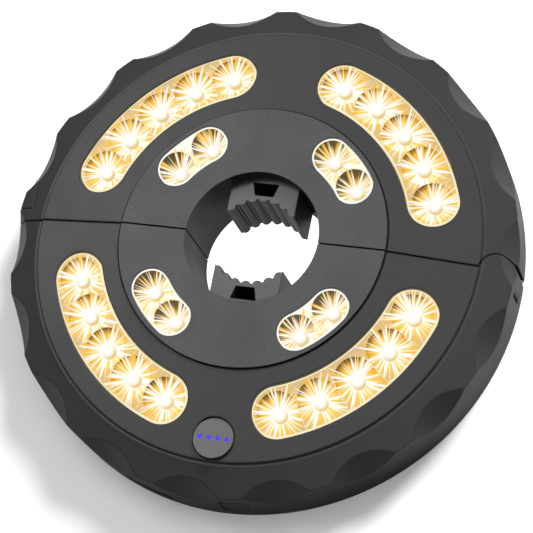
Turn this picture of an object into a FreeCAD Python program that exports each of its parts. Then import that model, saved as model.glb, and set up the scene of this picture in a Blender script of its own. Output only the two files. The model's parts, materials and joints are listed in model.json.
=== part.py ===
# Patio umbrella light: a ring of two hinged halves that clamps round an umbrella's pole.
# Millimetres. The origin is on the pole's axis in the plane of the flat back, +Z is the way the
# lamps face, +X points to the hinge and +Y to the upper half. Angles are in degrees about +Z from +X.

import FreeCAD, Part
import os
import re

import Sketcher

doc = FreeCAD.newDocument("umbrella_light")
sheet = doc.addObject("Spreadsheet::Sheet", "Sizes")

SIZES = [
    # outer form
    ("rimRadius", 100.0, "outer radius"),
    ("faceHeight", 34.0, "back plane to the inner face"),
    ("shellWall", 2.4, "housing wall"),
    ("splitGap", 0.6, "gap between the closed halves"),
    ("seamShare", 0.4333, "seam between the inner plate and the outer face, from hole to face edge"),
    ("seamGap", 0.5, "width of that seam"),
    ("seamStep", 1.0, "how far the inner plate stands above the outer face"),
    ("faceInset", 12.7, "rim to where the outer face ends"),
    ("faceFall", 6.65, "inner face down to the outer face at its edge"),
    ("stepInset", 11.4, "rim to the outer side of the step round the face"),
    ("stepFall", 7.9, "inner face down to the foot of the step"),
    ("crestFall", 12.5, "inner face down to the corner between the rim's slope and the side"),
    # scallops
    ("scallopCount", 18, "scoops round the corner of the rim"),
    ("scallopStart", 5.0, "angle of the first scoop"),
    ("scallopRadius", 32.0, "radius of each scoop"),
    ("scallopDepth", 6.0, "how far in from the rim the scoop reaches on the slope"),
    ("scallopTopFall", 10.1, "inner face down to that point"),
    ("scallopLowFall", 19.0, "inner face down to where the scoop ends on the side"),
    # pole hole, inner plate and back
    ("holeRadius", 26.25, "pole hole"),
    ("holeWall", 2.0, "wall of the pole hole"),
    ("plateThickness", 2.2, "inner plate"),
    ("lipShare", 0.936, "inner edge of the lip under the inner plate, from hole to seam"),
    ("lipDepth", 2.2, "thickness of that lip"),
    ("backThickness", 2.0, "back cover"),
    ("fitGap", 0.3, "gap round pieces set into one another"),
    ("roomSides", 30, "flats round the hidden room inside"),
    ("plainSides", 8, "flats round small hidden pieces"),
    # lamp slots
    ("slotAngle", 45.0, "angle of the first slot"),
    ("outerPathShare", 0.497, "middle line of the outer slots, from seam to face edge"),
    ("outerHalfWidth", 10.1, "half the width of an outer slot"),
    ("outerHalfSpan", 26.2, "slot middle to the centre of its round end"),
    ("innerPathShare", 0.639, "middle line of the inner slots, from hole to seam"),
    ("innerWidthShare", 0.291, "half the width of an inner slot, over hole to seam"),
    ("innerHalfSpan", 10.2, "slot middle to the centre of its round end"),
    ("trayDrop", 0.4, "how far the reflectors lie below the face"),
    ("cupSides", 12, "flats round a reflector cup"),
    ("trayEndSides", 20, "flats round the end of a reflector tray"),
    ("lampSides", 8, "flats round a lamp"),
    ("outerRimWidth", 2.3, "rim between an outer cup and its slot"),
    ("innerRimWidth", 1.0, "rim between an inner cup and its slot"),
    ("cupFootRadius", 3.3, "both cups at the board"),
    ("boardFall", 12.4, "inner face down to the underside of the lamp boards"),
    ("boardThickness", 1.6, "lamp and control boards"),
    ("lampRadius", 2.7, "lamp"),
    ("lampTopRadius", 2.0, "top of the lamp's dome"),
    ("outerLampHeight", 4.0, "outer lamps over the board"),
    ("innerLampHeight", 4.8, "inner lamps over the board"),
    # jaws
    ("jawHalfWidth", 13.5, "half the width of a jaw"),
    ("jawLow", 4.5, "back face of the jaws"),
    ("jawFall", 5.5, "inner face down to the front face of the jaws"),
    ("jawTip", 10.9, "ends of the jaw's horns"),
    ("jawBack", 29.0, "rear of the jaw"),
    ("gripRadius", 17.2, "hollow of the jaw between its ribs"),
    ("ribRadius", 2.07, "half-round rib"),
    ("ribCentreRadius", 18.15, "centres of the ribs"),
    ("ribPitch", 14.3, "angle from rib to rib"),
    ("pocketNear", 18.6, "near side of the jaw's pocket"),
    ("pocketFar", 23.7, "far side of the pocket"),
    ("pocketNearWidth", 7.4, "pocket at its near side"),
    ("pocketFarWidth", 10.2, "pocket at its far side"),
    ("pocketDepth", 20.0, "depth of the pocket"),
    ("jawTravel", 6.9, "how far a jaw slides out"),
    ("lipOver", 2.0, "how far the jaw's stop lips stand out"),
    ("guideWall", 1.6, "guide wall"),
    ("jawSpringLength", 14.4, "jaw spring at rest"),
    ("springRadius", 4.0, "outside of the jaw springs"),
    ("springWire", 0.8, "wire of the springs"),
    # hinge
    ("hingeInset", 6.0, "rim to the hinge axis"),
    ("knuckleRadius", 6.6, "hinge knuckles"),
    ("knuckleGap", 0.4, "gap round a knuckle"),
    ("knuckleLow", 6.6, "top of the back knuckle"),
    ("knuckleHigh", 16.4, "bottom of the front knuckle"),
    ("pinRadius", 1.6, "hinge pin"),
    ("pinFit", 0.05, "running clearance of pins"),
    ("pressFit", 0.02, "clearance of fixed pins"),
    ("pinLow", 1.0, "low end of the hinge pin"),
    ("pinHigh", 19.5, "high end of the hinge pin"),
    # bosses and screws
    ("bossInset", 9.0, "rim to the screw bosses"),
    ("bossRadius", 3.4, "boss"),
    ("screwRadius", 1.25, "screw shank"),
    ("screwLength", 10.0, "screw shank under its head"),
    ("screwHeadRadius", 2.5, "screw head"),
    ("screwHeadHeight", 1.2, "screw head"),
    # power button and controls
    ("buttonInset", 21.1, "rim to the centre of the power button"),
    ("buttonRadius", 7.8, "power button"),
    ("buttonFall", 4.8, "inner face down to the top of the button"),
    ("dotDepth", 1.6, "depth of the charge lights"),
    ("buttonFlange", 9.4, "flange that keeps the button in"),
    ("buttonWellDepth", 6.7, "top of the button to the lower end of its well"),
    ("flangeThickness", 1.2, "flange of the button"),
    ("stemRadius", 2.0, "stem of the button"),
    ("dotRadius", 0.85, "charge lights in the button"),
    ("dotPitch", 3.5, "charge light to charge light"),
    ("controlFall", 16.5, "top of the button down to the underside of the control board"),
    ("controlHalfWidth", 22.0, "half the width of the control board"),
    ("controlInner", 20.9, "button to the inner edge of the control board"),
    ("controlOuter", 12.1, "button to the outer edge of the control board"),
    ("switchHalf", 3.0, "half the side of the switch"),
    ("switchHeight", 4.3, "body of the switch"),
    ("plungerHeight", 1.4, "plunger of the switch"),
    # charging socket and its flap
    ("usbAngle", -85.3, "charging socket"),
    ("usbHalfWidth", 5.15, "half the width of the flap"),
    ("usbLow", 5.5, "lower edge of the flap"),
    ("usbHigh", 16.4, "upper edge of the flap"),
    ("usbCorner", 3.0, "corner radius of the flap"),
    ("usbFlap", 1.6, "thickness of the flap"),
    ("usbBarrel", 0.8, "round edge that the flap turns on"),
    ("socketHalfWidth", 4.5, "half the width of the socket"),
    ("socketHeight", 3.2, "height of the socket"),
    ("socketLength", 11.0, "length of the socket"),
    # hanging hooks
    ("hookAngle", 73.8, "middle of the upper half's hook"),
    ("hookSlotHalf", 10.0, "half the width of the hook's slot"),
    ("hookSlotLow", 4.2, "lower edge of the slot"),
    ("hookSlotHigh", 9.2, "upper edge of the slot"),
    ("hookInset", 5.8, "rim to the hook pivots"),
    ("hookPivotShift", -5.0, "hook pivot along the rim"),
    ("hookEye", 2.7, "eye of the hook"),
    ("hookPin", 1.3, "hook pin"),
    ("hookBoss", 2.8, "boss over the hook's eye"),
    # battery
    ("cellRadius", 9.15, "battery cell"),
    ("cellLength", 65.0, "battery cell"),
    ("cellInset", 33.0, "rim to the middle of a cell"),
    ("cellAngle", -40.0, "angle of the right-hand cell"),
    # latch
    ("latchNear", 5.4, "edge of the latch nearest the split"),
    ("latchFar", 17.2, "far edge of the latch"),
    ("latchInset", 5.8, "rim to the inner edge of the latch"),
    ("latchLow", 7.4, "lower edge of the latch"),
    ("latchPinInset", 3.6, "rim to the latch pin"),
    ("latchPinZ", 18.6, "latch pin"),
    ("latchPin", 1.0, "latch pin radius"),
    ("latchSkin", 2.8, "thickness of the latch's lower part"),
    ("latchFootGap", 0.8, "room below the latch for its swing"),
    ("latchArmLow", 8.0, "underside of the latch's arm"),
    ("latchArmHigh", 11.5, "top of the latch's arm"),
    ("latchArm", 1.6, "thickness of the latch's arm"),
    ("latchNoseLength", 0.8, "how far the arm's nose stands out"),
    ("latchReach", -5.4, "end of the arm, over the split"),
    ("latchSpringLength", 7.2, "latch spring at rest"),
    # walls, margins and small allowances
    ("cutOver", 5.0, "how far cutters reach past the solid"),
    ("hingeBlockSide", 3.0, "block behind the knuckles, past them"),
    ("hingeBlockTop", 2.0, "top of that block over the knuckles"),
    ("pilotOver", 0.5, "screw holes past the screws' ends"),
    ("hookWall", 4.5, "wall over the hook's slot"),
    ("hookPinOver", 4.0, "how far the hook pin reaches over the slot"),
    ("earReach", 3.4, "ears that carry the latch pin, inwards from it"),
    ("earFall", 3.6, "the same ears, below the pin"),
    ("earWall", 2.2, "thickness of those ears"),
    ("seatWall", 2.0, "wall behind the latch spring, and its margin at the latch's edges"),
    ("seatDrop", 3.0, "that wall, below the latch's arm"),
    ("armRoom", 0.7, "room over and under the latch's arm"),
    ("pinEnds", 1.9, "how far the latch pin reaches into its ears"),
    ("buttonWellWall", 1.8, "wall of the button's well"),
    ("usbBlockDepth", 5.4, "depth of the block round the charging socket"),
    ("usbBlockWall", 2.5, "that block at the sides of the flap"),
    ("usbBlockTop", 1.8, "that block over the flap"),
    ("usbHoleDepth", 8.0, "depth of the socket's hole behind the side wall"),
    ("socketBack", 0.6, "back of the flap to the socket"),
    ("mouthDepth", 6.5, "depth of the socket's mouth"),
    ("socketShell", 0.3, "sheet of the socket's shell"),
    ("tongueHalf", 0.35, "half the thickness of the socket's tongue"),
    ("postRadius", 2.5, "posts under the control board"),
    ("postHalfPitch", 15.0, "half the way from post to post"),
    ("postShift", 4.0, "button to the line of the posts"),
    ("plungerRadius", 1.7, "plunger of the switch"),
    ("boardMargin", 3.0, "lamp board outside the outer slots"),
    ("boardInnerMargin", 2.0, "lamp board inside the inner slots"),
    ("boardEdge", 10.0, "end of the lamp board to the split"),
    ("notchGap", 1.7, "jaw to the sides of the lamp board's notch"),
    ("notchEnd", 2.4, "pushed-out jaw to the end of that notch, and button's well to its own notch"),
    ("lipInset", 1.2, "near side of the jaw's stop lips, inside the pole hole's radius"),
    ("lipEnd", 1.0, "rear of the jaw past its lips"),
    ("lipFoot", 1.5, "lips over the back face of the jaw"),
    ("lipRoom", 3.6, "lips to the lamp boards' underside"),
    ("hookFlush", 0.4, "hook below the rim"),
    ("hookTipGap", 0.5, "hook's tip to the end of its slot"),
]

# Radii and heights that hang from the rim, the pole hole and the face.
PLACES = {
    "faceEdgeRadius": "rimRadius - faceInset",
    "faceEdgeHeight": "faceHeight - faceFall",
    "stepRadius": "rimRadius - stepInset",
    "stepHeight": "faceHeight - stepFall",
    "crestHeight": "faceHeight - crestFall",
    "scallopTopRadius": "rimRadius - scallopDepth",
    "scallopTopHeight": "faceHeight - scallopTopFall",
    "scallopLowHeight": "faceHeight - scallopLowFall",
    "outerPathRadius": "seamRadius + outerPathShare * (faceEdgeRadius - seamRadius)",
    "outerCupRadius": "outerHalfWidth - outerRimWidth",
    "seamRadius": "holeRadius + seamShare * (faceEdgeRadius - holeRadius)",
    "lipRadius": "holeRadius + lipShare * (seamRadius - holeRadius)",
    "innerPathRadius": "holeRadius + innerPathShare * (seamRadius - holeRadius)",
    "innerHalfWidth": "innerWidthShare * (seamRadius - holeRadius)",
    "innerCupRadius": "innerHalfWidth - innerRimWidth",
    "boardHeight": "faceHeight - boardFall",
    "jawHigh": "faceHeight - jawFall",
    "guideFar": "jawBack + jawSpringLength",
    "hingeX": "rimRadius - hingeInset",
    "bossPathRadius": "rimRadius - bossInset",
    "buttonY": "buttonInset - rimRadius",
    "buttonTop": "faceHeight - buttonFall",
    "buttonWellLow": "buttonTop - buttonWellDepth",
    "controlHeight": "buttonTop - controlFall",
    "controlNear": "buttonY + controlInner",
    "controlFar": "buttonY - controlOuter",
    "hookPivotRadius": "rimRadius - hookInset",
    "cellPathRadius": "rimRadius - cellInset",
    "latchX": "latchInset - rimRadius",
    "latchPinX": "latchPinInset - rimRadius",
    "latchArmOut": "latchX - latchArm",
    "latchNose": "latchArmOut - latchNoseLength",
    "latchSpringSeat": "latchX + latchSpringLength",
}

names = set()
for row, (alias, value, note) in enumerate(SIZES, start=1):
    sheet.set("A%d" % row, note)
    sheet.set("B%d" % row, str(value))
    sheet.setAlias("B%d" % row, alias)
    names.add(alias)
doc.recompute()

ABOVE = "60"
NODES = []


def bound(text):
    """The expression with each place worked out and each size named as a cell of the sheet."""
    def cell(word):
        if word[0] in PLACES:
            return "(%s)" % bound(PLACES[word[0]])
        return "Sizes." + word[0] if word[0] in names else word[0]
    return re.sub(r"[A-Za-z_]\w*", cell, text)


def number(text):
    """What an expression comes to now."""
    return float(getattr(sheet.evalExpression(bound(text)), "Value", sheet.evalExpression(bound(text))))


def bind(item, **sizes):
    for name, text in sizes.items():
        item.setExpression(name, bound(text))
    return item


def place(item, x="0", y="0", z="0", turn="0", tilt="0", axis="0; 0; 1"):
    """Tilts the item about the given axis, puts it at (x, y, z) and turns the whole about +Z."""
    spot = "placement(vector(%s; %s; %s); rotation(vector(%s); %s))" % (x, y, z, axis, tilt)
    swing = "placement(vector(0; 0; 0); rotation(vector(0; 0; 1); %s))" % turn
    item.setExpression("Placement", bound(swing + " * " + spot))
    return item


def box(x, y, z, turn="0"):
    """A block between the two ends given for each direction, turned about +Z."""
    block = doc.addObject("Part::Box", "Block")
    ends = ["(%s) - (%s)" % (span[1], span[0]) for span in (x, y, z)]
    bind(block, Length=ends[0], Width=ends[1], Height=ends[2])
    return place(block, x[0], y[0], z[0], turn)


def rod(radius, x, y, z, turn="0"):
    """A cylinder along +Z between two heights."""
    cylinder = doc.addObject("Part::Cylinder", "Rod")
    bind(cylinder, Radius=radius, Height="(%s) - (%s)" % (z[1], z[0]))
    return place(cylinder, x, y, z[0], turn)


def bar(radius, x, y, z, turn="0"):
    """A cylinder along +X or +Y: the direction that has two ends."""
    cylinder = doc.addObject("Part::Cylinder", "Bar")
    along, spot = (x, (x[0], y, z)) if isinstance(x, tuple) else (y, (x, y[0], z))
    bind(cylinder, Radius=radius, Height="(%s) - (%s)" % (along[1], along[0]))
    axis, tilt = ("0; 1; 0", "90") if along is x else ("1; 0; 0", "-90")
    return place(cylinder, spot[0], spot[1], spot[2], turn, tilt, axis)


def prism(radius, x, y, z, turn="0", sides="plainSides"):
    """A flat-sided rod along +Z, for round pieces that the housing hides."""
    item = doc.addObject("Part::Prism", "Prism")
    bind(item, Polygon=sides, Circumradius=radius, Height="(%s) - (%s)" % (z[1], z[0]))
    return place(item, x, y, z[0], turn)


def cross_prism(radius, x, y, z, turn="0"):
    """A flat-sided rod along +X or +Y: the direction that has two ends."""
    item = doc.addObject("Part::Prism", "Prism")
    along, spot = (x, (x[0], y, z)) if isinstance(x, tuple) else (y, (x, y[0], z))
    bind(item, Polygon="plainSides", Circumradius=radius, Height="(%s) - (%s)" % (along[1], along[0]))
    axis, tilt = ("0; 1; 0", "90") if along is x else ("1; 0; 0", "-90")
    return place(item, spot[0], spot[1], spot[2], turn, tilt, axis)


def tapered(foot, mouth, low, high, sides):
    """A flat-sided cone's frustum on the pole's axis, from one radius and height to another."""
    count = int(number(sides))
    rings = []
    for radius, level in ((foot, low), (mouth, high)):
        corner = FreeCAD.Vector(number(radius), 0, number(level))
        turns = [FreeCAD.Rotation(FreeCAD.Vector(0, 0, 1), 360 / count * at) for at in range(count)]
        rings.append([each.multVec(corner) for each in turns])
    under, over = rings
    faces = [Part.Face(Part.makePolygon(ring + ring[:1])) for ring in rings]
    for at in range(count):
        side = [under[at - 1], under[at], over[at], over[at - 1], under[at - 1]]
        faces.append(Part.Face(Part.makePolygon(side)))
    frustum = doc.addObject("Part::Feature", "Frustum")
    frustum.Shape = Part.Solid(Part.Shell(faces))
    return frustum


def fuse(*items):
    joined = doc.addObject("Part::MultiFuse", "Fuse")
    joined.Shapes = list(items)
    return joined


def cut(base, *tools):
    result = doc.addObject("Part::Cut", "Cut")
    result.Base = base
    result.Tool = tools[0] if len(tools) == 1 else fuse(*tools)
    return result


def common(base, tool):
    result = doc.addObject("Part::Common", "Common")
    result.Base = base
    result.Tool = tool
    return result


def group(*items):
    """Separate solids that share one name."""
    gathered = doc.addObject("Part::Compound", "Group")
    gathered.Links = list(items)
    return gathered


def node(name, item):
    item.Label = name
    NODES.append(item)
    return item


def datum(body, role):
    return next(part for part in body.Origin.OriginFeatures if part.Role == role)


def sketch(body, plane, corners):
    """A closed outline of straight sides whose corners are tied to the sizes."""
    outline = body.newObject("Sketcher::SketchObject", "Outline")
    outline.AttachmentSupport = [(datum(body, plane), "")]
    outline.MapMode = "FlatFace"
    spots = [FreeCAD.Vector(number(x), number(y), 0) for x, y in corners]
    for start, end in zip(spots, spots[1:] + spots[:1]):
        outline.addGeometry(Part.LineSegment(start, end), False)
    for side, (x, y) in enumerate(corners):
        outline.addConstraint(Sketcher.Constraint("Coincident", side, 2, (side + 1) % len(corners), 1))
        for direction, text, axis in (("DistanceX", x, -2), ("DistanceY", y, -1)):
            if text == "0":
                outline.addConstraint(Sketcher.Constraint("PointOnObject", side, 1, axis))
                continue
            tie = Sketcher.Constraint(direction, -1, 1, side, 1, number(text))
            outline.setExpression("Constraints[%d]" % outline.addConstraint(tie), bound(text))
    return outline


def turned(corners, name="Turned"):
    """A body revolved round the pole's axis from an outline of (radius, height) corners."""
    body = doc.addObject("PartDesign::Body", name)
    profile = sketch(body, "XZ_Plane", corners)
    revolution = body.newObject("PartDesign::Revolution", "Revolution")
    revolution.Profile = profile
    revolution.ReferenceAxis = (profile, ["V_Axis"])
    revolution.Angle = 360
    return body


def padded(corners, low, high, name="Padded"):
    """A body raised from an outline of (x, y) corners between two heights."""
    body = doc.addObject("PartDesign::Body", name)
    profile = sketch(body, "XY_Plane", corners)
    pad = body.newObject("PartDesign::Pad", "Pad")
    pad.Profile = profile
    bind(pad, Length="(%s) - (%s)" % (high, low))
    return place(body, z=low)


def arc_slot(path, half_width, half_span, middle, low, high, end=rod):
    """A block that follows an arc round the pole's axis, with ends that are round or, hidden, flat-sided."""
    sector = doc.addObject("Part::Cylinder", "Sector")
    bind(sector, Radius="%s + %s" % (path, half_width), Height="(%s) - (%s)" % (high, low),
         Angle="2 * " + half_span)
    place(sector, z=low, turn="%s - %s" % (middle, half_span))
    band = cut(sector, rod("%s - %s" % (path, half_width), "0", "0", (low, high)))
    ends = [end(half_width, path, "0", (low, high), "%s %s %s" % (middle, sign, half_span))
            for sign in "+-"]
    return fuse(band, *ends)


# Heights on the outer face, the rim's slope and a scoop's bottom line at a radius.
SLOPE = "((stepHeight - crestHeight) / (rimRadius - stepRadius))"
SCOOP = "((scallopTopHeight - scallopLowHeight) / (rimRadius - scallopTopRadius))"
SEAM_TOP = "(faceHeight - seamStep)"
FACE = "((%s - faceEdgeHeight) / (faceEdgeRadius - seamRadius))" % SEAM_TOP
WALL_IN = "(rimRadius - shellWall)"
LEDGE = "(faceHeight - plateThickness)"


def face_height(radius, drop="0"):
    return "%s - %s * (%s - seamRadius) - (%s)" % (SEAM_TOP, FACE, radius, drop)


def outer_form():
    """The whole light as a solid: conical face, step, sloped rim and side, with the scoops."""
    edge = "seamRadius + seamGap / 2"
    corners = [("0", "0"), ("rimRadius", "0"), ("rimRadius", "crestHeight"), ("stepRadius", "stepHeight"),
               ("faceEdgeRadius + 0.3 * (stepRadius - faceEdgeRadius)", "stepHeight"),
               ("faceEdgeRadius", "faceEdgeHeight"), (edge, face_height(edge)), (edge, LEDGE), ("0", LEDGE)]
    body = turned(corners, "OuterForm")
    doc.recompute()
    # A scoop is part of a cylinder whose side touches the line from the slope down to the side.
    run = "(rimRadius - scallopTopRadius)"
    fall = "(scallopTopHeight - scallopLowHeight)"
    length = "sqrt(%s ^ 2 + %s ^ 2)" % (run, fall)
    scoop = body.newObject("PartDesign::SubtractiveCylinder", "Scoop")
    bind(scoop, Radius="scallopRadius", Height="3 * " + length)
    x = "scallopTopRadius - %s + scallopRadius * %s / %s" % (run, fall, length)
    z = "scallopTopHeight + %s + scallopRadius * %s / %s" % (fall, run, length)
    tilt = "atan2(%s; -%s)" % (run, fall)
    place(scoop, x, "0", z, "scallopStart", tilt, "0; 1; 0")
    doc.recompute()
    scoops = body.newObject("PartDesign::PolarPattern", "Scoops")
    scoops.Originals = [scoop]
    scoops.Axis = (datum(body, "Z_Axis"), [""])
    scoops.Angle = 360
    bind(scoops, Occurrences="scallopCount")
    body.Tip = scoops
    return body


def hollow():
    """The room inside the housing: one wall behind the face, the slope, the scoops and the side."""
    scoop_drop = "shellWall * sqrt(1 + %s ^ 2)" % SCOOP
    slope_drop = "shellWall * sqrt(1 + %s ^ 2)" % SLOPE
    low = "scallopTopHeight - %s * (%s - scallopTopRadius) - %s" % (SCOOP, WALL_IN, scoop_drop)
    meet = ("((scallopTopHeight + %s * scallopTopRadius - %s - stepHeight - %s * stepRadius + %s) / (%s - %s))"
            % (SCOOP, scoop_drop, SLOPE, slope_drop, SCOOP, SLOPE))
    high = "stepHeight - %s * (%s - stepRadius) - %s" % (SLOPE, meet, slope_drop)
    top = LEDGE + " - lipDepth"
    lip = "lipRadius / cos(180 / roomSides)"
    return fuse(prism(WALL_IN, "0", "0", ("-1", low), sides="roomSides"),
                tapered(WALL_IN, meet, low, high, "roomSides"),
                tapered(meet, lip, high, top, "roomSides"),
                prism(lip, "0", "0", (top, ABOVE), sides="roomSides"))


def boss_angles():
    return ("25", "60", "125", "155")


def inner_walls(turn):
    """What stands inside each half of the housing: its split walls, screw bosses and hook boss."""
    top = LEDGE
    walls = [box(span, ("splitGap / 2", "splitGap / 2 + shellWall"), ("backThickness", top), turn)
             for span in (("holeRadius + holeWall + fitGap", WALL_IN),
                          ("-" + WALL_IN, "-(holeRadius + holeWall + fitGap)"))]
    bosses = [prism("bossRadius", "bossPathRadius", "0", ("backThickness", top), "%s + %s" % (turn, angle))
              for angle in boss_angles()]
    hook_boss = prism("hookBoss", "hookPivotRadius", "hookPivotShift", ("hookSlotHigh", top),
                      "%s + hookAngle" % turn)
    side = ("splitGap / 2", "knuckleRadius + hingeBlockTop")
    if turn != "0":
        side = ("-(knuckleRadius + hingeBlockTop)", "-splitGap / 2")
    hinge_block = box(("hingeX - knuckleRadius - hingeBlockSide", WALL_IN), side, ("backThickness", top))
    return walls + bosses + [hook_boss, hinge_block]


def slots(turn):
    """The four lamp openings of one half of the face."""
    cutters = []
    for middle in ("slotAngle", "180 - slotAngle"):
        cutters.append(arc_slot("outerPathRadius", "outerHalfWidth", "outerHalfSpan",
                                "%s + %s" % (turn, middle), "boardHeight", ABOVE))
    return cutters


def half_space(turn):
    """Everything on one side of the split."""
    return box(("-rimRadius - 20", "rimRadius + 20"), ("splitGap / 2", "rimRadius + 20"), ("-5", ABOVE),
               turn)


def screw_holes(turn):
    """Pilot holes in the bosses."""
    return [prism("screwRadius + pressFit", "bossPathRadius", "0",
                  ("0", "screwHeadHeight + screwLength + pilotOver"), "%s + %s" % (turn, angle))
            for angle in boss_angles()]


def hook_cuts(turn):
    """The hook's slot through the side and the hole for its pin."""
    slot = box((WALL_IN + " - 1", "rimRadius + cutOver"), ("-hookSlotHalf", "hookSlotHalf"),
               ("hookSlotLow", "hookSlotHigh"), "%s + hookAngle" % turn)
    hole = rod("hookPin + pressFit", "hookPivotRadius", "hookPivotShift",
               ("backThickness", "hookSlotHigh + hookWall"), "%s + hookAngle" % turn)
    return [slot, hole]


def upper_housing(form):
    """Shell of the upper half, with the middle knuckle and the latch's opening."""
    walls = inner_walls("0")
    latch_ears = [box(("-" + WALL_IN, "latchPinX + earReach"), span, ("latchPinZ - earFall", LEDGE))
                  for span in
                  (("latchNear - fitGap - earWall", "latchNear"),
                   ("latchFar", "latchFar + fitGap + earWall"))]
    seat = box(("latchSpringSeat", "latchSpringSeat + seatWall"),
               ("latchNear + seatWall", "latchFar - seatWall"),
               ("latchArmLow - seatDrop", LEDGE))
    room = cut(hollow(), *(walls + latch_ears + [seat]))
    shell = cut(common(form, half_space("0")), room)
    wedge = padded([("hingeX", "-1"), ("rimRadius + 4", "-1"), ("rimRadius + 4", "knuckleRadius - 2.4"),
                    ("hingeX + 2", "knuckleRadius - 0.2"), ("hingeX", "knuckleRadius + knuckleGap")],
                   "-1", ABOVE, "Wedge")
    socket = rod("knuckleRadius + knuckleGap", "hingeX", "0", ("-1", ABOVE))
    trimmed = cut(shell, *([wedge, socket] + slots("0") + screw_holes("0") + hook_cuts("0")))
    level = ("knuckleLow + knuckleGap / 2", "knuckleHigh - knuckleGap / 2")
    knuckle = common(form, fuse(rod("knuckleRadius", "hingeX", "0", level),
                                box(("hingeX - knuckleRadius - 2", "hingeX - 1"),
                                    ("splitGap / 2", "knuckleRadius + 1"), level)))
    opening = box(("-rimRadius - 2", "latchX + fitGap"),
                  ("latchNear - fitGap / 2", "latchFar + fitGap / 2"),
                  ("latchLow - latchFootGap", ABOVE))
    window = box(("latchNose - fitGap", "latchX + 2"), ("-1", "splitGap / 2 + shellWall + 1"),
                 ("latchArmLow - armRoom", "latchArmHigh + armRoom"))
    pin_hole = bar("latchPin + pressFit", "latchPinX", ("latchNear - pinEnds", "latchFar + pinEnds"),
                   "latchPinZ")
    hinge_hole = rod("pinRadius + pinFit", "hingeX", "0", ("-1", ABOVE))
    return node("upper_housing", cut(fuse(trimmed, knuckle), opening, window, pin_hole, hinge_hole))


def lower_housing(form):
    """Shell of the lower half, with the front and back knuckles, button well and charging socket."""
    walls = inner_walls("180")
    well = prism("buttonRadius + fitGap + buttonWellWall", "0", "buttonY", ("buttonWellLow", LEDGE),
                 sides="roomSides")
    socket_block = box((WALL_IN + " - usbBlockDepth", WALL_IN),
                       ("-usbHalfWidth - usbBlockWall", "usbHalfWidth + usbBlockWall"),
                       ("backThickness + fitGap", "usbHigh + usbBlockTop"), "usbAngle")
    room = cut(hollow(), *(walls + [well, socket_block]))
    shell = cut(common(form, half_space("180")), room)
    socket = rod("knuckleRadius + knuckleGap", "hingeX", "0", ("knuckleLow", "knuckleHigh"))
    relief = padded([("hingeX + 3", "-6.6"), ("rimRadius + 4", "-6.6"), ("rimRadius + 4", "-1.2")],
                    "knuckleLow", "knuckleHigh", "Relief")
    trimmed = cut(shell, *([socket, relief] + slots("180") + screw_holes("180") + hook_cuts("180")))
    front = common(form, rod("knuckleRadius", "hingeX", "0", ("knuckleHigh", ABOVE)))
    back = common(form, rod("knuckleRadius", "hingeX", "0", ("0", "knuckleLow")))
    button_hole = rod("buttonRadius + fitGap", "0", "buttonY", ("buttonWellLow - 1", ABOVE))
    flap_seat = rounded_block("rimRadius - usbFlap - fitGap / 2", "rimRadius + cutOver",
                              "usbHalfWidth + fitGap",
                              "usbLow - fitGap", "usbHigh + fitGap", "usbCorner + fitGap")
    hinge_side = box(("rimRadius - usbFlap - fitGap / 2", "rimRadius + cutOver"),
                     ("-usbHalfWidth - fitGap", "usbCorner - usbHalfWidth"),
                     ("usbLow - fitGap", "usbHigh + fitGap"), "usbAngle")
    usb_hole = box((WALL_IN + " - usbHoleDepth", "rimRadius"),
                   ("-socketHalfWidth - pressFit", "socketHalfWidth + pressFit"),
                   ("controlHeight - socketHeight - pressFit", "controlHeight + pressFit"), "usbAngle")
    window = box(("latchNose - fitGap", "latchX + 2"), ("-splitGap / 2 - shellWall - 1", "1"),
                 ("latchArmLow - armRoom", "latchArmHigh + armRoom"))
    hinge_hole = rod("pinRadius + pressFit", "hingeX", "0", ("-1", "pinHigh + fitGap"))
    return node("lower_housing", cut(fuse(trimmed, front, back), button_hole, flap_seat, hinge_side,
                                     usb_hole, window,
                                     hinge_hole))


def rounded_block(near, far, half_width, low, high, corner):
    """A block on the side wall at the charging socket, with its four corners rounded."""
    body = doc.addObject("PartDesign::Body", "RoundedBlock")
    block = body.newObject("PartDesign::AdditiveBox", "Slab")
    bind(block, Length="(%s) - (%s)" % (far, near), Width="2 * (%s)" % half_width,
         Height="(%s) - (%s)" % (high, low))
    doc.recompute()
    fillet = body.newObject("PartDesign::Fillet", "Corners")
    along = ["Edge%d" % (at + 1) for at, edge in enumerate(block.Shape.Edges)
             if abs(edge.tangentAt(edge.FirstParameter).x) > 0.99]
    fillet.Base = (block, along)
    bind(fillet, Radius=corner)
    return place(body, near, "-(%s)" % half_width, low, "usbAngle")


def inner_plate(half, turn):
    """The face round the pole hole, with the hole's wall, two lamp openings and the jaw's window."""
    disc = rod("seamRadius - seamGap / 2", "0", "0", (LEDGE, "faceHeight"))
    wall = prism("holeRadius + holeWall", "0", "0", ("0", LEDGE), sides="roomSides")
    window = box(("-jawHalfWidth - fitGap", "jawHalfWidth + fitGap"),
                 ("jawTip", "holeRadius + holeWall + 5"),
                 ("jawLow - fitGap", "jawHigh + fitGap"), turn)
    openings = [arc_slot("innerPathRadius", "innerHalfWidth", "innerHalfSpan", "%s + %s" % (turn, middle),
                         "boardHeight", ABOVE) for middle in ("slotAngle", "180 - slotAngle")]
    hole = rod("holeRadius", "0", "0", ("-1", ABOVE))
    return node(half + "_inner_plate", cut(common(fuse(disc, wall), half_space(turn)), hole, window,
                                           *openings))


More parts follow.
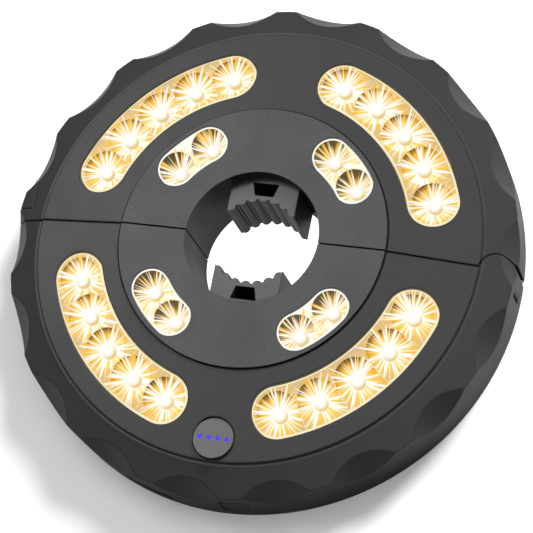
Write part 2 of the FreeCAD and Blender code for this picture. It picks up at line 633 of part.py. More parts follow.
def back_cover(half, turn):
    """The flat back of one half, with recesses for the heads of its screws."""
    span = ("0", "backThickness")
    ring = cut(prism(WALL_IN + " - fitGap", "0", "0", span, sides="roomSides"),
               prism("holeRadius + holeWall + 2 * fitGap", "0", "0", ("-1", "cutOver"), sides="roomSides"))
    heads = [prism("screwHeadRadius + fitGap", "bossPathRadius", "0", ("-1", "screwHeadHeight"),
                   "%s + %s" % (turn, angle))
             for angle in boss_angles()]
    holes = [prism("screwRadius + fitGap / 2", "bossPathRadius", "0", ("-1", "cutOver"),
                   "%s + %s" % (turn, angle))
             for angle in boss_angles()]
    hinge = rod("knuckleRadius + 2 * knuckleGap", "hingeX", "0", ("-1", "cutOver"))
    plate = cut(common(ring, half_space(turn)), hinge, *(heads + holes))
    if half == "lower":
        posts = [prism("postRadius", x, "buttonY + postShift", ("backThickness", "controlHeight"))
                 for x in ("postHalfPitch", "-postHalfPitch")]
        plate = fuse(plate, *posts)
    return node(half + "_back_cover", plate)


def cups(path, radius, half_span, count, middle, top):
    """One cutter for each lamp of a tray, from under the tray to above its face."""
    floor = "(boardHeight + boardThickness)"
    growth = "((%s - cupFootRadius) / (%s - %s))" % (radius, top, floor)
    low, high = "(%s - 1)" % floor, "(%s + 4)" % top
    foot, mouth = ["cupFootRadius + %s * (%s - %s)" % (growth, level, floor) for level in (low, high)]
    cutters = []
    for at in range(count):
        angle = "%s - %s + 2 * %s * %d / %d" % (middle, half_span, half_span, at, count - 1)
        cutters.append(place(tapered(foot, mouth, low, high, "cupSides"), path, turn=angle))
    return cutters


def tray_end(radius, x, y, z, turn):
    """The end of a tray, which the slot's wall hides."""
    return prism(radius, x, y, z, turn, "trayEndSides")


def reflectors(half, turn):
    """The reflector trays of one half, two outer and two inner. The outer follow the conical face."""
    floor = "(boardHeight + boardThickness)"
    near = "(outerPathRadius - outerHalfWidth - 4)"
    near_height = face_height(near, "trayDrop")
    outer, inner = [], []
    for middle in ("slotAngle", "180 - slotAngle"):
        angle = "%s + %s" % (turn, middle)
        block = arc_slot("outerPathRadius", "(outerHalfWidth - fitGap)", "outerHalfSpan", angle, floor,
                         "faceHeight",
                         tray_end)
        holes = cups("outerPathRadius", "outerCupRadius", "outerHalfSpan", 5, angle,
                     "(%s)" % face_height("outerPathRadius"))
        under_face = tapered("%s + (%s) / %s" % (near, near_height, FACE), near, "0", near_height,
                             "roomSides")
        outer.append(cut(common(block, under_face), *holes))
        block = arc_slot("innerPathRadius", "(innerHalfWidth - fitGap)", "innerHalfSpan", angle, floor,
                         "faceHeight - trayDrop", tray_end)
        holes = cups("innerPathRadius", "innerCupRadius", "innerHalfSpan", 2, angle, "faceHeight")
        inner.append(cut(block, *holes))
    node(half + "_outer_reflectors", group(*outer))
    node(half + "_inner_reflectors", group(*inner))


def lamps(half, turn):
    """Lamps with tapered domes, standing on the board in the middle of their cups."""
    base = "boardHeight + boardThickness"
    pieces = []
    for path, half_span, count, height in (("outerPathRadius", "outerHalfSpan", 5, "outerLampHeight"),
                                           ("innerPathRadius", "innerHalfSpan", 2, "innerLampHeight")):
        for middle in ("slotAngle", "180 - slotAngle"):
            for at in range(count):
                angle = "%s + %s - %s + 2 * %s * %d / %d" % (turn, middle, half_span, half_span, at,
                                                             count - 1)
                dome = tapered("lampRadius", "lampTopRadius", base, "%s + %s" % (base, height), "lampSides")
                pieces.append(place(dome, path, turn=angle))
    return node(half + "_lamps", group(*pieces))


def lamp_board(half, turn):
    """The board that carries one half's lamps, cut out round the jaw and the button's well."""
    span = ("boardHeight", "boardHeight + boardThickness")
    ring = cut(prism("outerPathRadius + outerHalfWidth + boardMargin", "0", "0", span, sides="roomSides"),
               prism("innerPathRadius - innerHalfWidth - boardInnerMargin", "0", "0", ("0", ABOVE),
                     sides="roomSides"))
    sides = box(("-rimRadius", "rimRadius"), ("boardEdge", "rimRadius"), ("0", ABOVE), turn)
    notch = box(("-jawHalfWidth - notchGap", "jawHalfWidth + notchGap"),
                ("0", "jawBack + jawTravel + notchEnd"), ("0", ABOVE), turn)
    well = prism("buttonRadius + fitGap + notchEnd", "0", "-buttonY", ("0", ABOVE), turn)
    return node(half + "_lamp_board", cut(common(ring, sides), notch, well))


def jaw(half, turn):
    """A sliding jaw: seven half-round ribs on a hollow face, a pocket, and stop lips at its sides."""
    span = ("-jawHalfWidth", "jawHalfWidth")
    block = box(span, ("jawTip", "jawBack"), ("jawLow", "jawHigh"), turn)
    hollow_face = cut(block, rod("gripRadius", "0", "0", ("-1", ABOVE)))
    ribs = [rod("ribRadius", "ribCentreRadius", "0", ("jawLow", "jawHigh"),
                "%s + 90 + ribPitch * %d" % (turn, at))
            for at in range(-3, 4)]
    ribbed = common(fuse(hollow_face, *ribs), box(span, ("0", "jawBack"), ("0", ABOVE), turn))
    lips = box(("-jawHalfWidth - lipOver", "jawHalfWidth + lipOver"),
               ("holeRadius - lipInset", "jawBack - lipEnd"),
               ("jawLow + lipFoot", "boardHeight - lipRoom"), turn)
    pocket = padded([("-pocketNearWidth / 2", "pocketNear"), ("pocketNearWidth / 2", "pocketNear"),
                     ("pocketFarWidth / 2", "pocketFar"), ("-pocketFarWidth / 2", "pocketFar")],
                    "jawHigh - pocketDepth", ABOVE, "Pocket")
    place(pocket, z="jawHigh - pocketDepth", turn=turn)
    return node(half + "_jaw", cut(fuse(ribbed, lips), pocket))


def jaw_guide(half, turn):
    """The channel behind the hole's wall that the jaw's lips run in, with a seat for the spring."""
    inside = "jawHalfWidth + lipOver + fitGap"
    outside = "(%s + guideWall)" % inside
    low = "backThickness"
    outer = box(("-" + outside, outside), ("holeRadius - 1", "guideFar + guideWall"), (low, "boardHeight"),
                turn)
    inner = box(("-(%s)" % inside, inside), ("holeRadius - 2", "guideFar"), ("0", ABOVE), turn)
    seat = cross_prism("springRadius - springWire - 0.1", "0", ("guideFar - 3", "guideFar"),
                       "(jawLow + jawHigh) / 2", turn)
    return node(half + "_jaw_guide", fuse(cut(outer, inner), seat))


def jaw_spring(half, turn):
    """The jaw's coil spring, as the plain tube that its wire fills."""
    middle = "(jawLow + jawHigh) / 2"
    span = ("jawBack", "guideFar")
    return node(half + "_jaw_spring", cut(
        cross_prism("springRadius", "0", span, middle, turn),
        cross_prism("springRadius - springWire", "0", ("jawBack - 1", "guideFar + 1"), middle, turn)))


def screws(half, turn):
    """Four pan-head screws, heads flush with the back."""
    pieces = []
    for angle in boss_angles():
        at = "%s + %s" % (turn, angle)
        head = prism("screwHeadRadius", "bossPathRadius", "0", ("0", "screwHeadHeight"), at)
        shank = prism("screwRadius", "bossPathRadius", "0", ("0", "screwHeadHeight + screwLength"), at)
        pieces.append(fuse(head, shank))
    return node(half + "_screws", group(*pieces))


def hook(half, turn):
    """A hook that folds flush into its slot: an eye on the pin, an arm along the rim and a barb."""
    root = "hookPivotRadius"
    start = "hookPivotShift"
    tip = "(hookSlotHalf - hookTipGap)"
    outline = [(root + " - hookEye", start), (root + " - hookEye", start + " + 5.4"),
               (root + " + 1.8", start + " + 6"),
               (root + " + 1.8", tip + " - 3.3"), (root + " - 2.2", tip + " - 2.9"), (root + " - 2.2", tip),
               ("rimRadius + 2", tip), ("rimRadius + 2", start + " + 5.8"),
               (root + " + hookEye", start + " + 5.4"),
               (root + " + hookEye", start)]
    level = ("hookSlotLow + fitGap", "hookSlotHigh - fitGap")
    arm = padded(outline, level[0], level[1], "HookArm")
    place(arm, z=level[0], turn="%s + hookAngle" % turn)
    flush = common(arm, rod("rimRadius - hookFlush", "0", "0", level))
    eye = rod("hookEye", root, start, level, "%s + hookAngle" % turn)
    hole = rod("hookPin + pinFit", root, start, ("0", ABOVE), "%s + hookAngle" % turn)
    node(half + "_hook", cut(fuse(flush, eye), hole))
    return node(half + "_hook_pin", rod("hookPin", root, start,
                                        ("backThickness", "hookSlotHigh + hookPinOver"),
                                        "%s + hookAngle" % turn))


def power_button():
    """A round button with a flange below and a stem over the switch, and its four charge lights."""
    foot = "controlHeight + boardThickness + switchHeight + plungerHeight"
    flange = "(buttonWellLow - fitGap)"
    cap = fuse(prism("stemRadius", "0", "buttonY", (foot, flange)),
               prism("buttonFlange", "0", "buttonY", (flange + " - flangeThickness", flange)),
               rod("buttonRadius", "0", "buttonY", (flange, "buttonTop")))
    spots = ["dotPitch * %s" % at for at in ("-1.5", "-0.5", "0.5", "1.5")]
    holes = [prism("dotRadius + pressFit", x, "buttonY", ("buttonTop - dotDepth", ABOVE)) for x in spots]
    node("power_button", cut(cap, *holes))
    return node("charge_lights", group(*[prism("dotRadius", x, "buttonY",
                                               ("buttonTop - dotDepth", "buttonTop"))
                                         for x in spots]))


def controls():
    """The control board with its switch, the charging socket, and the two battery cells."""
    top = "controlHeight + boardThickness"
    board = box(("-controlHalfWidth", "controlHalfWidth"), ("controlFar", "controlNear"),
                ("controlHeight", top))
    node("control_board", board)
    node("tact_switch", box(("-switchHalf", "switchHalf"), ("buttonY - switchHalf", "buttonY + switchHalf"),
                            (top, top + " + switchHeight")))
    node("switch_plunger", prism("plungerRadius", "0", "buttonY",
                                 (top + " + switchHeight", top + " + switchHeight + plungerHeight")))
    shell = box(("rimRadius - usbFlap - socketBack - socketLength", "rimRadius - usbFlap - socketBack"),
                ("-socketHalfWidth", "socketHalfWidth"), ("controlHeight - socketHeight",
                                                          "controlHeight"), "usbAngle")
    mouth = box(("rimRadius - usbFlap - socketBack - mouthDepth", "rimRadius + 1"),
                ("-socketHalfWidth + socketShell", "socketHalfWidth - socketShell"),
                ("controlHeight - socketHeight + socketShell", "controlHeight - socketShell"), "usbAngle")
    tongue = box(("rimRadius - usbFlap - socketBack - 7", "rimRadius - usbFlap - 1.6"), ("-3.3", "3.3"),
                 ("controlHeight - socketHeight / 2 - tongueHalf",
                  "controlHeight - socketHeight / 2 + tongueHalf"), "usbAngle")
    node("usb_socket", fuse(cut(shell, mouth), tongue))
    level = "backThickness + cellRadius"
    for side, angle in (("right", "cellAngle"), ("left", "180 - cellAngle")):
        body = cross_prism("cellRadius", "cellPathRadius", ("-cellLength / 2", "cellLength / 2"), level,
                           angle)
        button = cross_prism("2.8", "cellPathRadius", ("cellLength / 2", "cellLength / 2 + 1.2"), level,
                             angle)
        node("battery_" + side, fuse(body, button))


def usb_cover():
    """The soft flap over the socket, flush with the side, with a round edge that it turns on."""
    block = rounded_block("rimRadius - usbFlap", "rimRadius + 4", "usbHalfWidth", "usbLow", "usbHigh",
                          "usbCorner")
    edge = "(usbBarrel - usbHalfWidth)"
    level = ("usbLow - 1", "usbHigh + 1")
    turning = rod("usbBarrel", "rimRadius - usbBarrel", edge, level, "usbAngle")
    rest = box(("rimRadius - usbFlap - 1", "rimRadius + 4"), (edge, "usbHalfWidth + 1"), level, "usbAngle")
    return node("usb_cover", common(common(block, rod("rimRadius", "0", "0", ("0", ABOVE))),
                                    fuse(turning, rest)))


def latch(form):
    """The release lever in the side of the upper half, with its arm, pin and spring."""
    near, far = "latchNear + fitGap / 2", "latchFar - fitGap / 2"
    skin = common(form, box(("-rimRadius - 2", "latchX"), (near, far), ("latchLow", ABOVE)))
    behind = box(("-rimRadius + latchSkin", "latchX + 2"), ("latchNear - 2", "latchFar + 2"),
                 ("0", "latchPinZ - 1.8"))
    web = box(("-rimRadius + latchSkin - 0.4", "latchX"), (near, far), ("latchArmLow", "latchArmHigh"))
    arm = box(("latchArmOut", "latchX"), ("latchReach", "latchNear + 1"), ("latchArmLow", "latchArmHigh"))
    nose = box(("latchNose", "latchArmOut + 0.1"), ("latchReach", "latchReach + 2.2"),
               ("latchArmLow", "latchArmHigh"))
    hole = bar("latchPin + pinFit", "latchPinX", ("0", "latchFar + 3"), "latchPinZ")
    node("latch_lever", cut(fuse(cut(skin, behind), web, arm, nose), hole))
    node("latch_pin", bar("latchPin", "latchPinX", ("latchNear - 1.8", "latchFar + 1.8"), "latchPinZ"))
    middle = "(latchNear + latchFar) / 2"
    level = "(latchArmLow + latchArmHigh) / 2"
    node("latch_spring", cut(cross_prism("1.7", ("latchX", "latchSpringSeat"), middle, level),
                             cross_prism("1.1", ("latchX - 1", "latchSpringSeat + 1"), middle, level)))


form = outer_form()
upper_housing(form)
lower_housing(form)
for half, turn in (("upper", "0"), ("lower", "180")):
    inner_plate(half, turn)
    back_cover(half, turn)
    reflectors(half, turn)
    lamps(half, turn)
    lamp_board(half, turn)
    jaw(half, turn)
    jaw_guide(half, turn)
    jaw_spring(half, turn)
    screws(half, turn)
    hook(half, turn)
power_button()
controls()
usb_cover()
latch(form)
node("hinge_pin", rod("pinRadius", "hingeX", "0", ("pinLow", "pinHigh")))
doc.recompute()

for item in doc.Objects:
    if "Invalid" in item.State or "Error" in item.State:
        raise SystemExit("failed: %s %s %s" % (item.Name, item.Label, item.State))
os.makedirs("parts", exist_ok=True)
for item in NODES:
    if item.Shape.isNull() or not item.Shape.isValid() or not item.Shape.Solids:
        raise SystemExit("bad shape: " + item.Label)
    item.Shape.exportStep("parts/%s.step" % item.Label)
    print("%-28s %2d solids %10.1f mm3" % (item.Label, len(item.Shape.Solids), item.Shape.Volume))
print(len(NODES), "pieces")
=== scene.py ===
import json
import math

import bpy
import numpy as np
from mathutils import Matrix, Vector


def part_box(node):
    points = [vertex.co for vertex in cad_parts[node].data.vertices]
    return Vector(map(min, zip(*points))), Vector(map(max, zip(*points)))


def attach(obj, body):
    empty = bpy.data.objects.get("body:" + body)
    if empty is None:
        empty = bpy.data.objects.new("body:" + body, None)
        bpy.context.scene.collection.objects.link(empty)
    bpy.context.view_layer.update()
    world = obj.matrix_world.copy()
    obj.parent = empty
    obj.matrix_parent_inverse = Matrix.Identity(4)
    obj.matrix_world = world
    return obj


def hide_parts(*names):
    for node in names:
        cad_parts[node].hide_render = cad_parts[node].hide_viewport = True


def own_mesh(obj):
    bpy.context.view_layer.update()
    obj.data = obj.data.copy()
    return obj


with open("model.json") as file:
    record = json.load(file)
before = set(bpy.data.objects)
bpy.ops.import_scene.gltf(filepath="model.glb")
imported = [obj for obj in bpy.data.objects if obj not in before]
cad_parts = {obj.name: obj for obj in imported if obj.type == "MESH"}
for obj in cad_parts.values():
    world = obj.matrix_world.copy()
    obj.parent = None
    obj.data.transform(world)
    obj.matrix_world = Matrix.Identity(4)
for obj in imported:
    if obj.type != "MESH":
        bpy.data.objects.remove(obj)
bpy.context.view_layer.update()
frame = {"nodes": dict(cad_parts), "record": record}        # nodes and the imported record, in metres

print("frame loaded", len(frame["nodes"]), "nodes")
mm = 0.001


def hexColour(text):
    # sRGB hex to linear light
    parts = [int(text[at:at + 2], 16) / 255 for at in (1, 3, 5)]
    return [part / 12.92 if part <= 0.04045 else ((part + 0.055) / 1.055) ** 2.4 for part in parts] + [1.0]


def addNode(tree, kind, settings=None, inputs=None):
    # settings are the node's own attributes; an input, by name or number, takes a value or another node's output
    node = tree.nodes.new("ShaderNode" + kind)
    for name, value in (settings or {}).items():
        setattr(node, name, value)
    for key, value in (inputs or {}).items():
        if isinstance(value, bpy.types.NodeSocket):
            tree.links.new(value, node.inputs[key])
        else:
            node.inputs[key].default_value = value
    return node


def mathNode(tree, operation, *values):
    return addNode(tree, "Math", {"operation": operation}, dict(enumerate(values))).outputs[0]


def mapRange(tree, value, fromLow, fromHigh, toLow=0.0, toHigh=1.0, kind="LINEAR", clamp=True):
    return addNode(tree, "MapRange", {"interpolation_type": kind, "clamp": clamp},
                   {"Value": value, "From Min": fromLow, "From Max": fromHigh,
                    "To Min": toLow, "To Max": toHigh}).outputs[0]


def smoothLevel(tree, value, low, high):
    # 0 below low, 1 above high, smooth in between
    return mapRange(tree, value, low, high, kind="SMOOTHSTEP")


def mixColours(tree, level, under, over):
    # in a colour mix, socket 0 is the share, 6 and 7 are the colours
    return addNode(tree, "Mix", {"data_type": "RGBA"}, {0: level, 6: under, 7: over}).outputs[2]


def colourRamp(tree, value, stops):
    # each stop is a place with an sRGB hex colour or with a grey level in linear light
    ramp = addNode(tree, "ValToRGB", inputs={"Fac": value})
    elements = ramp.color_ramp.elements
    elements[0].position, elements[1].position = stops[0][0], stops[-1][0]
    for place, tone in stops[1:-1]:
        elements.new(place)
    for element, (place, tone) in zip(elements, stops):
        element.color = hexColour(tone) if isinstance(tone, str) else (tone, tone, tone, 1.0)
    return ramp.outputs[0]


def noiseNode(tree, vector, scale, detail=2.0, roughness=0.5):
    return addNode(tree, "TexNoise", inputs={"Vector": vector, "Scale": scale, "Detail": detail,
                                             "Roughness": roughness}).outputs["Fac"]


def noiseLevel(tree, noise, middle, swing):
    # a noise keeps mostly between 0.3 and 0.7, which becomes middle - swing to middle + swing
    return mapRange(tree, noise, 0.3, 0.7, middle - swing, middle + swing)


def readAttribute(tree, name):
    return addNode(tree, "Attribute", {"attribute_name": name}).outputs["Fac"]


def objectPlace(tree):
    return addNode(tree, "TexCoord").outputs["Object"]


def newMaterial(name):
    material = bpy.data.materials.new(name)
    material.use_nodes = True
    material.node_tree.nodes.clear()
    return material, material.node_tree


def finishMaterial(tree, inputs):
    shader = addNode(tree, "BsdfPrincipled", inputs=inputs)
    addNode(tree, "OutputMaterial", inputs={"Surface": shader.outputs[0]})


def gridMesh(xyz, attributes=None):
    # xyz is an array of rows by columns by 3; neighbours are joined into quads, and each row closes on itself
    rows, columns = xyz.shape[:2]
    index = np.arange(rows * columns).reshape(rows, columns)
    index = np.hstack([index, index[:, :1]])
    quads = np.stack([index[:-1, :-1], index[:-1, 1:], index[1:, 1:], index[1:, :-1]], axis=-1)
    return xyz.reshape(-1, 3), quads.reshape(-1, 4), attributes or {}


def joinGrids(name, grids, material, body, replaced):
    # several grids become one mesh object that rides on a body
    points, quads, start = [], [], 0
    values = {}
    for xyz, faces, attributes in grids:
        points.append(xyz)
        quads.append(faces + start)
        start += len(xyz)
        for key, column in attributes.items():
            values.setdefault(key, []).append(np.ravel(column))
    points, quads = np.vstack(points), np.vstack(quads)
    mesh = bpy.data.meshes.new(name)
    mesh.vertices.add(len(points))
    mesh.vertices.foreach_set("co", (points * mm).astype(np.float32).ravel())
    mesh.loops.add(quads.size)
    mesh.loops.foreach_set("vertex_index", quads.astype(np.int32).ravel())
    mesh.polygons.add(len(quads))
    mesh.polygons.foreach_set("loop_start", np.arange(0, quads.size, 4, dtype=np.int32))
    mesh.update(calc_edges=True)
    mesh.validate()
    mesh.polygons.foreach_set("use_smooth", np.ones(len(mesh.polygons), bool))
    for key, columns in values.items():
        layer = mesh.attributes.new(key, "FLOAT", "POINT")
        layer.data.foreach_set("value", np.concatenate(columns).astype(np.float32))
    mesh.materials.append(material)
    piece = bpy.data.objects.new(name, mesh)
    bpy.context.scene.collection.objects.link(piece)
    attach(piece, body)
    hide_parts(*replaced)
    return piece


def polar(radius, degrees):
    return radius * np.cos(np.radians(degrees)), radius * np.sin(np.radians(degrees))


def rings(radius, steps, centre):
    # x and y of circles round a centre: a row for each radius, a column for each step of the turn
    turn = np.linspace(0, 2 * np.pi, steps, endpoint=False)
    return centre[0] + radius[:, None] * np.cos(turn), centre[1] + radius[:, None] * np.sin(turn)


# The camera that fits the photograph, from the round outline and the pole hole: axes and place in millimetres.
view = {
    "right": (0.9542, 0.1922, -0.2293),
    "up": (-0.1051, 0.9329, 0.3446),
    "back": (0.2802, -0.3047, 0.9103),
    "place": (276.8, -303.4, 906.2),
    "lens": 171.6,
    "sensor": 36.0,
    "nearest": 50.0,
}
cameraData = bpy.data.cameras.new("camera")
cameraData.lens = view["lens"]
cameraData.sensor_width = view["sensor"]
cameraData.clip_start = view["nearest"] * mm
camera = bpy.data.objects.new("camera", cameraData)
bpy.context.scene.collection.objects.link(camera)
turn = Matrix((view["right"], view["up"], view["back"])).transposed().to_4x4()
camera.matrix_world = Matrix.Translation([value * mm for value in view["place"]]) @ turn
bpy.context.scene.camera = camera
bpy.context.scene.view_settings.view_transform = "Standard"

studio = {
    # light from straight above and from the horizon, and the heights between which it changes: the sloped rim
    # sees more of the horizon than the face does, and falls darker
    "skyHigh": 0.88,
    "skyLow": 0.03,
    "skyFrom": 0.25,
    "skyTo": 0.95,
    # how bright the sky is from the side of the viewer (0) to the far side (1)
    "skySides": ((0.08, 0.2), (0.46, 1.0), (0.66, 1.0), (0.82, 0.5)),
    "floor": "#E9E9E9",          # the card as the camera sees it
    "floorBounce": "#A6A6A6",    # the card as it lights the part, so that the side stays dark
    "floorRough": 0.9,
    "floorGlow": 0.12,           # what the card adds for the camera alone, which keeps the shadow open
    "floorReach": 6.0,           # from the middle to each edge, in metres
    "floorDrop": 0.2,            # under the part's back, in mm
    "holeRadius": 28.0,
    "holeGlow": 1.0,             # the card inside the pole hole is white to the camera, as in the photograph
    "holeBounce": 0.32,          # what the card inside the pole hole gives the ribs and walls
    # name: place in metres, size, watts, seen in reflections; each aims at the part's middle
    "lights": {
        "keyLight": ((-0.70, 0.50, 1.30), 1.0, 6.0, True),
        "shadowLight": ((0.50, 0.95, 0.80), 0.55, 38.0, False),
    },
}
world = bpy.data.worlds.new("studio")
world.use_nodes = True
sky = world.node_tree
way = addNode(sky, "SeparateXYZ", inputs={"Vector": addNode(sky, "TexCoord").outputs["Generated"]}).outputs
skyTone = colourRamp(sky, mapRange(sky, way["Y"], -1.0, 1.0), studio["skySides"])
skyFade = mapRange(sky, way["Z"], studio["skyFrom"], studio["skyTo"], studio["skyLow"], studio["skyHigh"],
                   "SMOOTHSTEP")
sky.links.new(skyTone, sky.nodes["Background"].inputs["Color"])
sky.links.new(skyFade, sky.nodes["Background"].inputs["Strength"])
bpy.context.scene.world = world
for name, (place, size, watts, reflected) in studio["lights"].items():
    lightData = bpy.data.lights.new(name, "AREA")
    lightData.shape = "DISK"
    lightData.size = size
    lightData.energy = watts
    light = bpy.data.objects.new(name, lightData)
    bpy.context.scene.collection.objects.link(light)
    aim = Vector(place).to_track_quat("Z", "Y").to_matrix().to_4x4()
    light.matrix_world = Matrix.Translation(place) @ aim
    light.visible_glossy = reflected

floorMaterial, tree = newMaterial("matt white card")
fromMiddle = addNode(tree, "VectorMath", {"operation": "LENGTH"}, {0: objectPlace(tree)}).outputs["Value"]
inside = mathNode(tree, "LESS_THAN", fromMiddle, studio["holeRadius"] * mm)
toCamera = addNode(tree, "LightPath").outputs["Is Camera Ray"]
glowSeen = mathNode(tree, "MULTIPLY", toCamera,
                    mapRange(tree, inside, 0.0, 1.0, studio["floorGlow"], studio["holeGlow"]))
finishMaterial(tree, {
    "Base Color": mixColours(tree, toCamera, hexColour(studio["floorBounce"]), hexColour(studio["floor"])),
    "Roughness": studio["floorRough"],
    "Emission Color": hexColour("#FFFFFF"),
    "Emission Strength": mathNode(tree, "MULTIPLY_ADD", inside, studio["holeBounce"], glowSeen),
})
reach = studio["floorReach"]
floorMesh = bpy.data.meshes.new("floor")
floorMesh.from_pydata([(-reach, -reach, 0), (reach, -reach, 0), (reach, reach, 0), (-reach, reach, 0)], [],
                      [(0, 1, 2, 3)])
floorMesh.materials.append(floorMaterial)
floor = bpy.data.objects.new("floor", floorMesh)
floor.location.z = -studio["floorDrop"] * mm
bpy.context.scene.collection.objects.link(floor)
print("camera and studio set")

moulding = {
    "cloud": 22.0,               # size of the slow drift in tone, in mm
    "cloudTone": 0.05,
    "cloudRough": 0.05,
    "grainDetail": 0.6,          # how much the finer noise adds to the grain
    "grainHeight": 0.1,          # in mm
    "edgeSamples": 4,
    "ior": 1.53,
}


def mouldedAbs(name, colour, roughness=0.42, grain=0.35, depth=0.10, edge=0.35, contrast=0.14):
    # Plastic from a spark-eroded tool: a fine even grain that breaks the highlights, and slightly soft edges.
    # The real grain is about 0.1 mm; it is drawn at 0.35 mm and more so that it shows.
    material, tree = newMaterial(name)
    place = objectPlace(tree)
    fine = noiseNode(tree, place, 1 / (grain * mm), roughness=moulding["grainDetail"])
    cloudy = noiseNode(tree, place, 1 / (moulding["cloud"] * mm))
    tone = mathNode(tree, "MULTIPLY", noiseLevel(tree, fine, 1.0, contrast),
                    noiseLevel(tree, cloudy, 1.0, moulding["cloudTone"]))
    soft = addNode(tree, "Bevel", {"samples": moulding["edgeSamples"]}, {"Radius": edge * mm})
    bump = addNode(tree, "Bump", inputs={"Strength": depth, "Distance": moulding["grainHeight"] * mm,
                                         "Height": fine, "Normal": soft.outputs[0]})
    finishMaterial(tree, {
        "Base Color": addNode(tree, "HueSaturation", inputs={"Color": hexColour(colour), "Value": tone}).outputs[0],
        "Roughness": noiseLevel(tree, cloudy, roughness, moulding["cloudRough"]),
        "IOR": moulding["ior"],
        "Normal": bump.outputs[0],
    })
    return material


# Painted light: what a lamp does to the plating round it, painted into the plating's glow as a painted reflection
# and painted rays. Radii count in cup radii, and a colour stop at 0.5 stands at one radius.
outerGlow = {
    "power": 1.0,
    "base": "#1D1A13",
    "metallic": 0.6,
    "roughness": 0.3,
    # the painted reflection of the lamp: white beside it, then gold, then painted shade to brown at the bowl's edge
    "shade": ((0.17, "#FFFFFF"), (0.24, "#FFF3C6"), (0.31, "#FFD04E"), (0.45, "#F0AE2A"), (0.56, "#C48B27"),
              (0.68, "#967028")),
    # painted shade on the wall away from the viewer: its direction in degrees, the cosine from which it shows, the
    # radii between which it sets in
    "darkTurn": 118.0,
    "paintedShadeFrom": 0.1,
    "paintedShadeStart": 0.8,
    "paintedShadeEnd": 1.3,
    "paintedShadeLevel": 0.85,
    "paintedShadeColour": "#4A3A1A",
    # painted rays of glare: broad gold rays under fine white ones, the level that the noise has to pass near the lamp
    # and how much it rises between the two radii
    "rayRadii": (0.3, 1.2),
    "gold": {"scale": 6.0, "low": 0.36, "rise": 0.15, "soft": 0.12,
             "stops": ((0.15, "#FFFBEA"), (0.28, "#FFDC74"), (0.55, "#F9C040"), (0.8, "#EEB84C"))},
    "white": {"scale": 12.0, "low": 0.47, "rise": 0.12, "soft": 0.05,
              "stops": ((0.15, "#FFFFFF"), (0.4, "#FFFEF4"), (0.8, "#FFF0BA"))},
    "spikeColour": "#FFFFFA",
    # painted star spikes of glare: half the number of spikes, phase, width at the lamp and radius where they end
    "spikes": ((2, 0.1, 0.32, 1.9), (4, 1.2, 0.18, 1.5), (6, 0.6, 0.11, 1.3)),
}
# the small bowls: the same plating with a darker painted glow and a painted shade over more of the wall
innerGlow = dict(
    outerGlow, power=0.95, paintedShadeLevel=0.7, paintedShadeFrom=-0.9, paintedShadeColour="#3A3018", paintedShadeStart=0.6, paintedShadeEnd=1.2,
    shade=((0.17, "#FFF9DC"), (0.26, "#FFDB70"), (0.38, "#D69E36"), (0.5, "#93702C"), (0.68, "#6B5A34")))
# a flange has no painted shade on its wall and has a painted pale highlight along its outline, fading between two
# distances in mm
rimGlow = dict(
    outerGlow, power=0.95, base="#3A352A", paintedShadeLevel=0.0, line="#FFF3C8", lineFade=(0.3, 0.75),
    shade=((0.15, "#FBD061"), (0.5, "#F5C558"), (0.62, "#E3BC70"), (0.85, "#CBB893")))
# the small rims: the same plating with a paler painted glow and a whiter painted highlight
innerRimGlow = dict(
    rimGlow, base="#55524A", line="#FFFEF6",
    shade=((0.15, "#F7DC93"), (0.5, "#F6DA92"), (0.6, "#F4E3BC"), (0.75, "#F6EFE0")))


